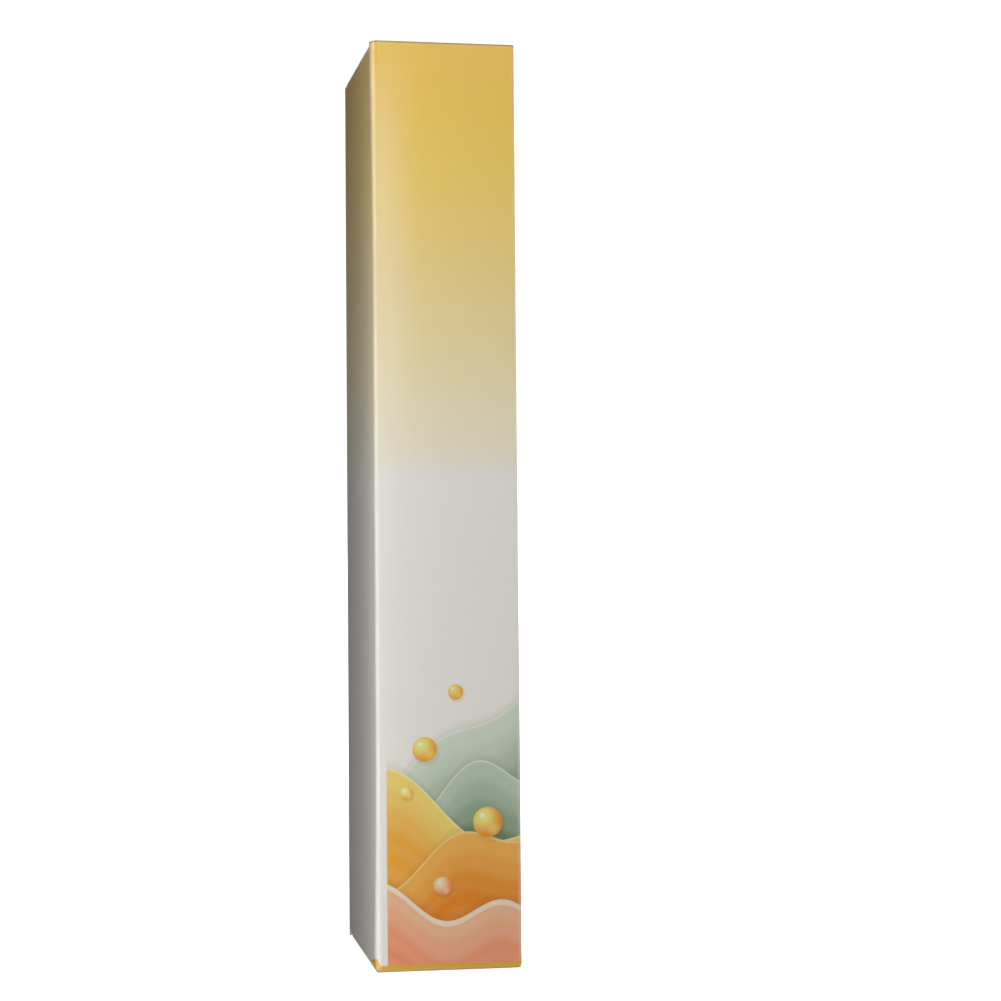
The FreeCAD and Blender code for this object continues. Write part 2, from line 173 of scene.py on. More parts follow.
tree.nodes.clear()
dim = add(tree, "Background", {"Color": (0.040, 0.038, 0.036)})
bright = add(tree, "Background", {"Color": (0.95, 0.95, 0.95)})
ray = add(tree, "LightPath")
seen = add(tree, "MixShader", {0: ray.outputs["Is Camera Ray"], 1: dim.outputs[0], 2: bright.outputs[0]})
tree.links.new(seen.outputs[0], tree.nodes.new("ShaderNodeOutputWorld").inputs["Surface"])
bpy.context.scene.world = room
bpy.context.scene.view_settings.view_transform = "Standard"


# Camera: level with the middle of the carton, in front of it and a little to its left. The shift
# stands for the crop of the photograph, which shows the front panel square on.
eye = bpy.data.cameras.new("photo_camera")
eye.lens = 52.45
eye.shift_x = 0.25
eye.clip_start = 0.01
camera = bpy.data.objects.new("photo_camera", eye)
camera.location = (-0.05374, -0.22644, 0.06411)
camera.rotation_euler = [math.radians(angle) for angle in (91.639, 0.187, -6.352)]
bpy.context.scene.collection.objects.link(camera)
bpy.context.scene.camera = camera


# Carton sleeve: one white folding boxboard, printed and film-laminated on its outside and bare
# inside, creased to four panels and glued along the back right corner. The front left fold, which
# was not creased as hard, is the roundest, and the panels beside it swell a little.
carton_half = 11.25
carton_height = 140.0
board = 0.45
fold_radius = 0.7
open_fold_radius = 1.1
crease_radius = 0.5
seam_fold = 10.74
seam_edge = 10.95
glue_flap_end = 3.25
glue_flap_corner = 9.95
glue_flap_level = 2.16
glue_flap_taper = 3.0 / 8.0
side_level = 0.96
panel_swell = 0.32
metre = 0.001
paper_white = (211, 208, 203)
foot_yellow = (205, 160, 70)
top_yellow = (223, 182, 70)
front_light = 0.72
film_sheen = 0.03


def ink(red, green, blue):
    """Reflectance of a tone as it shows on the lit front panel under its film, from 8-bit values."""
    shown = [tone / 255 for tone in (red, green, blue)]
    linear = [((tone + 0.055) / 1.055) ** 2.4 for tone in shown]
    return tuple(min(max(tone - film_sheen, 0.004) / front_light, 0.88) for tone in linear)


def calc(tree, operation, *terms):
    """Result of one sum on outputs or plain numbers."""
    step = tree.nodes.new("ShaderNodeMath")
    step.operation = operation
    for socket, term in zip(step.inputs, terms):
        feed(tree, socket, term)
    return step.outputs[0]


def fade(tree, value, start, end):
    """Smooth step of a value, 0 at start and 1 at end."""
    step = add(tree, "MapRange", {"Value": value, "From Min": start, "From Max": end})
    step.interpolation_type = "SMOOTHSTEP"
    return step.outputs[0]


def mix(tree, share, first, second, way="MIX"):
    """Second colour over the first, by a share."""
    step = tree.nodes.new("ShaderNodeMix")
    step.data_type = "RGBA"
    step.blend_type = way
    feed(tree, step.inputs[0], share)
    feed(tree, step.inputs[6], first)
    feed(tree, step.inputs[7], second)
    return step.outputs[2]


def millimetres(tree):
    """Rest place of a surface point in millimetres, whole and as x, y and z."""
    place = add(tree, "TexCoord").outputs["Object"]
    place = add(tree, "VectorMath", {0: place, 1: (1000.0,) * 3}, operation="MULTIPLY").outputs[0]
    return place, *add(tree, "SeparateXYZ", {0: place}).outputs


def new_group(name, takes, gives):
    """Shader group with named inputs and outputs."""
    tree = bpy.data.node_groups.new(name, "ShaderNodeTree")
    for way, sockets in (("INPUT", takes), ("OUTPUT", gives)):
        for socket, kind in sockets.items():
            tree.interface.new_socket(socket, in_out=way, socket_type="NodeSocket" + kind)
    return tree, tree.nodes.new("NodeGroupInput").outputs, tree.nodes.new("NodeGroupOutput").inputs


def use(tree, group, **values):
    """Places a shader group, with its inputs linked or set. An underscore in a name is a space."""
    placed = tree.nodes.new("ShaderNodeGroup")
    placed.node_tree = group
    for name, value in values.items():
        feed(tree, placed.inputs[name.replace("_", " ")], value)
    return placed.outputs


# Paper under everything: cloudy formation, fine fibres and a roughness that follows them.
paper_grain, into, gives = new_group(
    "paper_grain",
    {
        "Color": "Color", "Place": "Vector", "Cloud size": "Float", "Cloud": "Float",
        "Smooth": "Float", "Rough": "Float", "Fibre tone": "Color", "Fibre": "Float",
    },
    {"Color": "Color", "Roughness": "Float", "Height": "Float"},
)
tree = paper_grain
cloud_scale = calc(tree, "DIVIDE", 1.0, into["Cloud size"])
cloud = add(tree, "TexNoise", {
    "Vector": into["Place"], "Scale": cloud_scale, "Detail": 4.0, "Roughness": 0.6,
})
fibre_run = add(tree, "VectorMath", {0: into["Place"], 1: (9.0, 9.0, 1.8)}, operation="MULTIPLY")
fibre = add(tree, "TexNoise", {
    "Vector": fibre_run.outputs[0], "Scale": 1.0, "Detail": 3.0, "Distortion": 0.2,
})
thin = fade(tree, cloud.outputs["Fac"], 0.20, 0.80)
strand = fade(tree, fibre.outputs["Fac"], 0.30, 0.80)
tone = mix(tree, calc(tree, "MULTIPLY", thin, into["Cloud"]), into["Color"], (0.55, 0.50, 0.44), "MULTIPLY")
tone = mix(tree, calc(tree, "MULTIPLY", strand, into["Fibre"]), tone, into["Fibre tone"])
tree.links.new(tone, gives["Color"])
spread = calc(tree, "SUBTRACT", into["Rough"], into["Smooth"])
tree.links.new(calc(tree, "MULTIPLY_ADD", thin, spread, into["Smooth"]), gives["Roughness"])
cloud_height = calc(tree, "MULTIPLY", cloud.outputs["Fac"], 0.6)
tree.links.new(calc(tree, "ADD", fibre.outputs["Fac"], cloud_height), gives["Height"])

# Rolling coloured sheet of the print: everything under a wavy crest line, lit along the crest and
# deeper further down, with a pale rim and a soft shadow on what lies behind it.
oil_wave, into, gives = new_group(
    "oil_wave",
    {
        "Under": "Color", "Across": "Float", "Up": "Float", "Level": "Float", "Tilt": "Float",
        "Swing": "Float", "Run": "Float", "Phase": "Float", "Crest": "Color", "Trough": "Color",
        "Fall": "Float", "Rim": "Color", "Rim width": "Float",
    },
    {"Color": "Color"},
)
tree = oil_wave
angle = calc(tree, "MULTIPLY_ADD", into["Across"], into["Run"], into["Phase"])
crest = calc(tree, "MULTIPLY_ADD", into["Across"], into["Tilt"], into["Level"])
crest = calc(tree, "MULTIPLY_ADD", calc(tree, "SINE", angle), into["Swing"], crest)
below = calc(tree, "SUBTRACT", crest, into["Up"])
shadow = calc(tree, "MULTIPLY", fade(tree, below, -1.6, 0.0), 0.16)
under = mix(tree, shadow, into["Under"], (0.30, 0.20, 0.10), "MULTIPLY")
share = calc(tree, "DIVIDE", below, into["Fall"])
body = mix(tree, fade(tree, share, 0.0, 1.0), into["Crest"], into["Trough"])
sunk = calc(tree, "POWER", calc(tree, "MAXIMUM", below, 0.0), 0.75)
silk = calc(tree, "SINE", calc(tree, "MULTIPLY", sunk, 4.2))
body = mix(tree, calc(tree, "MULTIPLY_ADD", silk, 0.05, 0.05), body, into["Rim"])
rim = fade(tree, calc(tree, "DIVIDE", below, into["Rim width"]), 1.0, 0.72)
body = mix(tree, calc(tree, "MULTIPLY", rim, 0.85), body, into["Rim"])
tree.links.new(mix(tree, fade(tree, below, -0.05, 0.05), under, body), gives["Color"])

# Round drop of oil in the print, lit from the upper left.
oil_drop, into, gives = new_group(
    "oil_drop",
    {
        "Under": "Color", "Across": "Float", "Up": "Float", "Centre across": "Float",
        "Centre up": "Float", "Radius": "Float", "Light": "Color", "Dark": "Color",
    },
    {"Color": "Color"},
)
tree = oil_drop
over = calc(tree, "DIVIDE", calc(tree, "SUBTRACT", into["Across"], into["Centre across"]), into["Radius"])
above = calc(tree, "DIVIDE", calc(tree, "SUBTRACT", into["Up"], into["Centre up"]), into["Radius"])


def from_spot(tree, at_over, at_above):
    """Distance of a point of the drop from a spot on it, in radii."""
    first = calc(tree, "POWER", calc(tree, "SUBTRACT", over, at_over), 2.0)
    second = calc(tree, "POWER", calc(tree, "SUBTRACT", above, at_above), 2.0)
    return calc(tree, "SQRT", calc(tree, "ADD", first, second))


body = mix(tree, fade(tree, from_spot(tree, -0.30, 0.34), 0.15, 1.35), into["Light"], into["Dark"])
glow = calc(tree, "MULTIPLY", fade(tree, from_spot(tree, 0.42, -0.45), 0.62, 0.0), 0.55)
body = mix(tree, glow, body, into["Light"])
spark = calc(tree, "MULTIPLY", fade(tree, from_spot(tree, -0.36, 0.42), 0.24, 0.08), 0.85)
body = mix(tree, spark, body, (0.93, 0.92, 0.88))
cast = calc(tree, "MULTIPLY", fade(tree, from_spot(tree, 0.16, -0.22), 1.25, 0.85), 0.22)
under = mix(tree, cast, into["Under"], (0.45, 0.32, 0.18), "MULTIPLY")
tree.links.new(mix(tree, fade(tree, from_spot(tree, 0.0, 0.0), 1.0, 0.96), under, body), gives["Color"])


def board_skin(name, printed, worn):
    """Printed and laminated face of the board, paled by the worn share: rubbing, and on the sleeve's left
    folds also painted highlight.
    """
    finish, tree, out = new_finish(name)
    place, x, y, z = millimetres(tree)
    rub = add(tree, "TexNoise", {"Vector": place, "Scale": 1.4, "Detail": 5.0, "Roughness": 0.7})
    rubbed = calc(tree, "MULTIPLY", worn(tree, x, y, z), calc(tree, "ADD", rub.outputs["Fac"], 0.3))
    tone = mix(tree, rubbed, printed(tree, x, y, z), ink(*paper_white))
    grain = use(
        tree, paper_grain, Color=tone, Place=place, Cloud_size=2.4, Cloud=0.03, Smooth=0.285,
        Rough=0.35, Fibre_tone=ink(*paper_white), Fibre=0.05)
    relief = add(tree, "Bump", {"Strength": 0.05, "Distance": 0.00002, "Height": grain["Height"]})
    skin = add(tree, "BsdfPrincipled", {
        "Base Color": grain["Color"], "Roughness": grain["Roughness"], "Normal": relief.outputs[0],
        "Coat Weight": 0.30, "Coat Roughness": 0.15,
    })
    tree.links.new(skin.outputs[0], out.inputs["Surface"])
    return finish


def raw_paper(name, tone, fibre_tone, fibre, bump):
    """Bare paper, as the board shows it on its back and where it is cut."""
    finish, tree, out = new_finish(name)
    grain = use(
        tree, paper_grain, Color=tone, Place=millimetres(tree)[0], Cloud_size=0.9, Cloud=0.28,
        Smooth=0.78, Rough=0.95, Fibre_tone=fibre_tone, Fibre=fibre)
    relief = add(tree, "Bump", {"Strength": bump, "Distance": 0.00005, "Height": grain["Height"]})
    paper = add(tree, "BsdfPrincipled", {
        "Base Color": grain["Color"], "Roughness": grain["Roughness"], "Normal": relief.outputs[0],
    })
    tree.links.new(paper.outputs[0], out.inputs["Surface"])
    return finish


board_back = raw_paper("board_back", (0.78, 0.77, 0.74), (0.88, 0.87, 0.84), 0.35, 0.35)
board_cut = raw_paper("board_cut", (0.74, 0.70, 0.62), (0.90, 0.87, 0.80), 0.60, 0.60)


def folded_sheet(path, low, high, along, *radii):
    """Sheet drawn out along a direction from a path of points, its folds rounded in their order."""
    sheet = bmesh.new()
    line = [sheet.verts.new(Vector(point) + Vector(along) * low) for point in path]
    base = [sheet.edges.new(pair) for pair in zip(line, line[1:])]
    drawn = bmesh.ops.extrude_edge_only(sheet, edges=base)
    far = [part for part in drawn["geom"] if isinstance(part, bmesh.types.BMVert)]
    bmesh.ops.translate(sheet, verts=far, vec=Vector(along) * (high - low))
    for point, radius in zip(path[1:-1], radii):
        middle = Vector(point) + Vector(along) * (low + high) / 2
        fold = min(sheet.edges, key=lambda edge: (
            edge.verts[0].co + edge.verts[1].co - 2 * middle).length)
        bmesh.ops.bevel(
            sheet, geom=[fold], offset=radius, affect="EDGES", segments=10, profile=0.5, material=-1)
    return sheet


def slice_sheet(sheet, place, way, cut_off=False, faces=None):
    """Cuts a sheet by a plane, and drops what lies beyond it if it is cut off."""
    parts = set(sheet.faces if faces is None else faces)
    parts |= {edge for face in parts for edge in face.edges}
    parts |= {vert for edge in parts if isinstance(edge, bmesh.types.BMEdge) for vert in edge.verts}
    bmesh.ops.bisect_plane(
        sheet, geom=list(parts), plane_co=place, plane_no=way, dist=1e-5, clear_outer=cut_off)


def board_piece(name, sheet, skin, outward):
    """Piece of board from its outer skin in millimetres, with its thickness, back and cut edges."""
    outermost = max(sheet.faces, key=lambda face: face.calc_center_median().dot(outward))
    if outermost.normal.dot(outward) < 0:
        bmesh.ops.reverse_faces(sheet, faces=sheet.faces)
    bmesh.ops.scale(sheet, verts=sheet.verts, vec=(metre,) * 3)
    piece = new_piece(name, sheet, skin, board_back, board_cut)
    thick = piece.modifiers.new("board", "SOLIDIFY")
    thick.thickness = board * metre
    thick.offset = -1.0
    thick.use_even_offset = True
    thick.material_offset = 1
    thick.material_offset_rim = 2
    view = bpy.context.evaluated_depsgraph_get()
    whole = bpy.data.meshes.new_from_object(piece.evaluated_get(view))
    piece.modifiers.clear()
    piece.data = whole
    whole.shade_smooth()
    whole.set_sharp_from_angle(angle=math.radians(40))
    return piece


# The whole print of the sleeve: yellow at the top, fading out to bare white by mid-height, a narrow
# yellow foot, and on the two wide faces a landscape of oil waves and drops. Over it lies painted light:
# a painted sheen at the wide faces' left, side panels paled as painted reflection, a painted highlight
# on the left folds and a painted shade line along the top edge.
sky_tones = (
    (0.525, paper_white), (0.550, (211, 206, 188)), (0.59, (211, 204, 174)), (0.67, (212, 197, 151)),
    (0.75, (217, 189, 126)), (0.83, (226, 186, 97)), (0.92, (227, 178, 70)), (1.0, (224, 170, 42)),
)
waves = (
    (33.0, 0.95, 3.2, 0.22, 2.4, (186, 196, 180), (128, 146, 118), 15.0, (200, 208, 194), 0.35),
    (26.5, 0.30, 3.4, 0.30, 0.4, (166, 181, 161), (112, 132, 104), 11.0, (194, 203, 188), 0.30),
    (24.0, -0.42, 2.6, 0.26, 3.6, (228, 190, 108), (216, 150, 66), 12.0, (232, 208, 150), 0.40),
    (17.5, 0.36, 2.4, 0.30, 1.2, (222, 160, 84), (205, 124, 50), 10.0, (230, 186, 126), 0.40),
    (9.5, -0.16, 2.2, 0.33, 5.0, (220, 168, 134), (214, 136, 104), 9.0, (216, 202, 184), 0.95),
)
drops = (
    (-3.6, 33.0, 1.9, (238, 206, 120), (212, 142, 58)),
    (1.2, 41.5, 1.2, (236, 198, 112), (214, 150, 66)),
    (-6.4, 26.5, 1.0, (240, 214, 140), (216, 156, 72)),
    (6.0, 22.0, 2.3, (240, 204, 118), (206, 128, 48)),
    (-1.0, 12.6, 1.4, (238, 196, 160), (212, 128, 84)),
)
wide_face_zone = (10.0, 10.2)
side_face_zone = (10.4, 11.0)
fold_zone = (10.2, 11.0)
# Painted sheen: the wide faces are mixed towards white near their left edge, below the top, in place of the
# film's sheen.
painted_sheen_zone = (-3.0, -10.5)
painted_sheen_rise = (146.0, 124.0)
flare_zone = (-7.5, -11.0)
picture_margin = 1.85
picture_edge = 0.08
foot_band = 1.05
foot_edge = 0.1
# Painted reflection: the narrow side panels are mixed towards white in place of the white they reflect.
side_painted_sheen = 0.30
painted_sheen_strength = 0.22
# Painted highlight: the folds at the left are lightened by this factor in place of the line of light down
# the front left fold.
fold_painted_highlight = (1.18, 1.18, 1.17)
# Partly wear, partly painted highlight: the left folds are paled towards white.
fold_rub_and_highlight = 0.16
foot_rub = 0.06
foot_rub_height = 0.7
# Painted shade: a thin dark line along the sleeve's top edge, where the lid's edge meets it.
top_edge_painted_shade = (0.12, 0.09, 0.05)
top_edge_shade_share = 0.75
top_edge_shade_zone = (carton_height - 0.3, carton_height - 0.1)


def colour_steps(tree, value, steps):
    """Colour ramp through tones at given shares."""
    ramp = add(tree, "ValToRGB", {"Fac": value})
    marks = ramp.color_ramp.elements
    while len(marks) < len(steps):
        marks.new(0.5)
    for mark, (stop, tone) in zip(marks, steps):
        mark.position = stop
        mark.color = (*ink(*tone), 1.0)
    return ramp.outputs["Color"]


def roll_waves(tree, under, across, up, waves):
    """Lays the waves over one another, the lowest last."""
    for level, tilt, swing, run, phase, high, low, fall, rim, rim_width in waves:
        under = use(
            tree, oil_wave, Under=under, Across=across, Up=up, Level=level, Tilt=tilt, Swing=swing,
            Run=run, Phase=phase, Crest=ink(*high), Trough=ink(*low), Fall=fall, Rim=ink(*rim),
            Rim_width=rim_width)[0]
    return under


def scatter_drops(tree, under, across, up, drops):
    """Sets round drops on the print."""
    for centre, height, size, light, dark in drops:
        under = use(
            tree, oil_drop, Under=under, Across=across, Up=up, Centre_across=centre,
            Centre_up=height, Radius=size, Light=ink(*light), Dark=ink(*dark))[0]
    return under


def fold_share(tree, x, y):
    """1 on the two folds at the left, where the print is lightened as painted highlight and rubbing, and 0
    on the panels.
    """
    nearer = calc(tree, "MINIMUM", calc(tree, "MULTIPLY", x, -1.0), calc(tree, "ABSOLUTE", y))
    return fade(tree, nearer, *fold_zone)


def sleeve_print(tree, x, y, z):
    """Print of the four panels, the picture on the front and turned round on the back, with painted sheen,
    reflection, highlight and shade over it.
    """
    sky = colour_steps(tree, calc(tree, "DIVIDE", z, carton_height), sky_tones)
    across = calc(tree, "MULTIPLY", x, calc(tree, "SIGN", calc(tree, "MULTIPLY", y, -1.0)))
    wide_face = fade(tree, calc(tree, "ABSOLUTE", y), *wide_face_zone)
    # Painted sheen: paler towards the left edge of each wide face.
    pale = calc(tree, "MULTIPLY", fade(tree, across, *painted_sheen_zone), fade(tree, z, *painted_sheen_rise))
    pale = calc(tree, "MULTIPLY", calc(tree, "MULTIPLY", pale, wide_face), painted_sheen_strength)
    sky = mix(tree, pale, sky, ink(*paper_white))
    picture = roll_waves(tree, sky, across, z, waves)
    picture = scatter_drops(tree, picture, across, z, drops)
    edge = picture_margin - carton_half
    past_margin = fade(tree, across, edge - picture_edge, edge + picture_edge)
    pictured = calc(tree, "MULTIPLY", wide_face, past_margin)
    tone = mix(tree, pictured, sky, picture)
    side_face = fade(tree, calc(tree, "ABSOLUTE", x), *side_face_zone)
    # Painted reflection: the side panels are paled.
    tone = mix(tree, calc(tree, "MULTIPLY", side_face, side_painted_sheen), tone, ink(*paper_white))
    flare = calc(tree, "MULTIPLY", side_face, fade(tree, y, *flare_zone))
    foot = calc(tree, "MULTIPLY_ADD", flare, side_level, foot_band)
    over_foot = calc(tree, "SUBTRACT", z, foot)
    tone = mix(tree, fade(tree, over_foot, foot_edge, -foot_edge), tone, ink(*foot_yellow))
    # Painted highlight on the left folds.
    tone = mix(tree, fold_share(tree, x, y), tone, fold_painted_highlight, "MULTIPLY")
    # Painted shade along the top edge.
    cut = calc(tree, "MULTIPLY", fade(tree, z, *top_edge_shade_zone), top_edge_shade_share)
    return mix(tree, cut, tone, top_edge_painted_shade)


def sleeve_rub_and_highlight(tree, x, y, z):
    """Share of paling: along the folds at the left, partly rubbing and partly painted highlight, and a
    little rubbing round the foot.
    """
    end = fade(tree, z, foot_rub_height, 0.0)
    folds = fold_share(tree, x, y)
    return calc(tree, "MULTIPLY_ADD", folds, fold_rub_and_highlight, calc(tree, "MULTIPLY", end, foot_rub))


panel_cuts = (-9.5, -9, -8.25, -7.5, -6.5, -5.5, -4, -2, 0, 4, 8)
side_end = side_level + crease_radius - board
end_cuts = (crease_radius, side_end, 3.0, 6.0, 12.0, 22.0, 35.0, 50.0)
flap_inside = 10.5
sheet = folded_sheet(
    [
        (carton_half, seam_edge, 0), (carton_half, -carton_half, 0), (-carton_half, -carton_half, 0),
        (-carton_half, carton_half, 0), (seam_fold, carton_half, 0), (seam_fold, glue_flap_end, 0),
    ],
    0, carton_height, (0, 0, 1), fold_radius, open_fold_radius, fold_radius, fold_radius)
for step in panel_cuts:
    slice_sheet(sheet, (step, 0, 0), (1, 0, 0))
    slice_sheet(sheet, (0, step, 0), (0, 1, 0))
fold_start = carton_half - open_fold_radius
for side in (-1, 1):
    slice_sheet(sheet, (0, side * fold_start, 0), (0, side, 0))
for end, step in ((0.0, 1), (carton_height, -1)):
    for rise in end_cuts:
        slice_sheet(sheet, (0, 0, end + step * rise), (0, 0, 1))
lost = []
for face in sheet.faces:
    spot = face.calc_center_median()
    from_end = min(spot.z, carton_height - spot.z)
    hinge_side = spot.y if spot.z > carton_height / 2 else -spot.y
    on_side = abs(spot.x) > fold_start and abs(spot.y) < fold_start
    if from_end < crease_radius and hinge_side > -fold_start:
        lost.append(face)
    elif on_side and from_end < side_end:
        lost.append(face)
bmesh.ops.delete(sheet, geom=lost, context="FACES")
for end, step in ((0.0, 1), (carton_height, -1)):
    flap = []
    for face in sheet.faces:
        spot = face.calc_center_median()
        inside = flap_inside < spot.x < seam_fold + 0.01
        if inside and glue_flap_end < spot.y < carton_half - fold_radius:
            flap.append(face)
    slope = (0, -glue_flap_taper, -step)
    slice_sheet(sheet, (seam_fold, glue_flap_corner, end + step * glue_flap_level), slope, True, flap)
for vert in sheet.verts:
    x, y, z = vert.co
    share = panel_swell * (1.0 - abs(2 * z / carton_height - 1.0) ** 6) ** 2
    if x > 0 or y > 0:
        continue
    for axis, other in ((0, y), (1, x)):
        turn = (abs(vert.co[axis]) - fold_start) / open_fold_radius
        if turn > 0:
            near_fold = min(abs(other) / fold_start, 1.0) ** 5
            vert.co[axis] -= math.copysign(share * near_fold * turn, vert.co[axis])
sleeve_skin = board_skin("sleeve_skin", sleeve_print, sleeve_rub_and_highlight)
sleeve = board_piece("sleeve_board", sheet, sleeve_skin, Vector((0, -1, 0)))
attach(sleeve, "carton")
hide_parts("carton_sleeve")


# Glue seam: a thin film of white dispersion glue that holds the flap to the right panel. It dries
# clear and a little uneven.
seam_film, tree, out = new_finish("seam_film")
spread = add(tree, "TexNoise", {"Vector": millimetres(tree)[0], "Scale": 0.7, "Detail": 3.0})
film_tone = mix(tree, spread.outputs["Fac"], (0.80, 0.76, 0.64), (0.90, 0.88, 0.80))
film_rough = calc(tree, "MULTIPLY_ADD", spread.outputs["Fac"], 0.3, 0.25)
film = add(tree, "BsdfPrincipled", {"Base Color": film_tone, "Roughness": film_rough})
tree.links.new(film.outputs[0], out.inputs["Surface"])
node["seam_glue"].material_slots[0].material = seam_film


# Closures: at each end a lid creased to a wide panel, a tuck creased to the lid, and two dust flaps
# creased to the narrow panels. They are the sleeve's own board, each rounded over at its crease. The
# lower set is the upper one turned end over end, as in a reverse-tuck carton.
lid_half = 10.95
lid_front = -9.9
tuck_half = 10.0
tuck_low = 130.8
tuck_corner = 3.0
dust_level = 139.49
dust_front = -8.25
dust_back = 10.0
dust_tip = 1.0
dust_front_cut = 3.0
dust_back_slope = 0.75
flap_crease_zone = (10.97, 11.08)
flap_foot_zone = (20.0, 10.0)
flap_rub_zone = (10.6, 11.2)
flap_rub = 0.22
flap_scuff = 0.03


def flap_print(tree, x, y, z):
    """Yellow of the closures, which at the foot stops short of the side panels' creases."""
    height = calc(tree, "DIVIDE", z, carton_height)
    tone = colour_steps(tree, height, ((0.05, foot_yellow), (0.95, top_yellow)))
    crease = fade(tree, calc(tree, "ABSOLUTE", x), *flap_crease_zone)
    bare = calc(tree, "MULTIPLY", crease, fade(tree, z, *flap_foot_zone))
    return mix(tree, bare, tone, ink(*paper_white))


def flap_wear(tree, x, y, z):
    """Share of rubbing: along the creases at the carton's outside."""
    further = calc(tree, "MAXIMUM", calc(tree, "ABSOLUTE", x), calc(tree, "ABSOLUTE", y))
    edge = fade(tree, further, *flap_rub_zone)
    return calc(tree, "MULTIPLY_ADD", edge, flap_rub, flap_scuff)


flap_skin = board_skin("flap_skin", flap_print, flap_wear)


def lid_sheet():
    """Lid, from the back panel's crease to the start of the tuck's."""
    path = [(0, carton_half, carton_height - crease_radius), (0, carton_half, carton_height)]
    path.append((0, lid_front + crease_radius, carton_height))
    return folded_sheet(path, -lid_half, lid_half, (1, 0, 0), crease_radius - 0.001)


def tuck_sheet():
    """Tuck, over the lid's front crease and down behind the front panel."""
    path = [(0, lid_front + crease_radius, carton_height), (0, lid_front, carton_height)]
    path.append((0, lid_front, tuck_low))
    sheet = folded_sheet(path, -tuck_half, tuck_half, (1, 0, 0), crease_radius - 0.001)
    feet = [vert for vert in sheet.verts if vert.co.z < tuck_low + 0.1]
    bmesh.ops.bevel(
        sheet, geom=feet, offset=tuck_corner, affect="VERTICES", segments=8, profile=0.5, material=-1)
    return sheet


def dust_sheet(side):
    """Dust flap, with its corners cut away so that it swings clear."""
    path = [(side * carton_half, 0, dust_level - crease_radius), (side * carton_half, 0, dust_level)]
    path.append((side * dust_tip, 0, dust_level))
    sheet = folded_sheet(path, dust_front, dust_back, (0, 1, 0), crease_radius - 0.001)
    slice_sheet(sheet, (side * (dust_tip + dust_front_cut), dust_front, 0), (-side, -1, 0), True)
    slice_sheet(sheet, (side * carton_half, dust_back, 0), (-side * dust_back_slope, 1, 0), True)
    return sheet


def hang(end, name, sheet, start, stop, outward):
    """Finishes a flap at one end of the carton."""
    if end == "bottom":
        over = Matrix.Rotation(math.pi, 3, "X")
        bmesh.ops.rotate(sheet, verts=sheet.verts, cent=(0, 0, carton_height / 2), matrix=over)
        start, stop = [(x, -y, carton_height - z) for x, y, z in (start, stop)]
        outward = over @ Vector(outward)
    piece = board_piece(f"{end}_{name}_board", sheet, flap_skin, Vector(outward))
    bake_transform(piece)
    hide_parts(f"{end}_{name}")


for end in ("top", "bottom"):
    hang(end, "lid", lid_sheet(), (0, carton_half, carton_height - crease_radius),
         (0, carton_half - crease_radius, carton_height), (0, 0, 1))
    hang(end, "tuck", tuck_sheet(), (0, lid_front + crease_radius, carton_height),
         (0, lid_front, carton_height - crease_radius), (0, -1, 0))
    for hand, side in (("left", -1), ("right", 1)):
        hang(end, f"dust_{hand}", dust_sheet(side),
             (side * carton_half, 0, dust_level - crease_radius),
             (side * (carton_half - crease_radius), 0, dust_level), (0, 0, 1))


# Pen barrel: a clear turned-looking tube, injection moulded in copolyester, with a polished outside
# and the reservoir bore inside it. The other clear and white mouldings of the pen share its grain.
moulded_grain, into, gives = new_group(
    "moulded_grain",
    {
        "Color": "Color", "Deep": "Color", "Place": "Vector", "Flow": "Float", "Smooth": "Float",
        "Rough": "Float",
    },
    {"Color": "Color", "Roughness": "Float", "Height": "Float"},
)
tree = moulded_grain
flow_run = add(tree, "VectorMath", {0: into["Place"], 1: (0.9, 0.9, 0.18)}, operation="MULTIPLY")
flow = add(tree, "TexNoise", {
    "Vector": flow_run.outputs[0], "Scale": into["Flow"], "Detail": 3.0, "Distortion": 0.4,
})
haze = add(tree, "TexNoise", {"Vector": into["Place"], "Scale": 6.0, "Detail": 4.0, "Roughness": 0.6})
swirl = fade(tree, flow.outputs["Fac"], 0.25, 0.75)
tree.links.new(mix(tree, swirl, into["Color"], into["Deep"]), gives["Color"])
spread = calc(tree, "SUBTRACT", into["Rough"], into["Smooth"])
tree.links.new(calc(tree, "MULTIPLY_ADD", haze.outputs["Fac"], spread, into["Smooth"]), gives["Roughness"])
tree.links.new(calc(tree, "ADD", haze.outputs["Fac"], swirl), gives["Height"])


def moulding(name, tone, deep, flow, smooth, rough, bump, **body):
    """Moulded plastic or rubber, with faint flow marks. An underscore in a body value is a space."""
    finish, tree, out = new_finish(name)
    grain = use(
        tree, moulded_grain, Color=tone, Deep=deep, Place=millimetres(tree)[0], Flow=flow,
        Smooth=smooth, Rough=rough)
    relief = add(tree, "Bump", {"Strength": bump, "Distance": 0.00002, "Height": grain["Height"]})
    plastic = add(tree, "BsdfPrincipled", {
        "Base Color": grain["Color"], "Roughness": grain["Roughness"], "Normal": relief.outputs[0],
        **{socket.replace("_", " "): value for socket, value in body.items()},
    })
    tree.links.new(plastic.outputs[0], out.inputs["Surface"])
    return finish


def finish_nodes(finish, *names):
    """Gives CAD pieces their finish."""
    for name in names:
        for place in node[name].material_slots:
            place.material = finish


clear_copolyester = moulding(
    "clear_copolyester", (0.95, 0.965, 0.97), (0.91, 0.94, 0.95), 0.5, 0.02, 0.06, 0.02,
    Transmission_Weight=1.0, IOR=1.53)
finish_nodes(clear_copolyester, "pen_barrel")


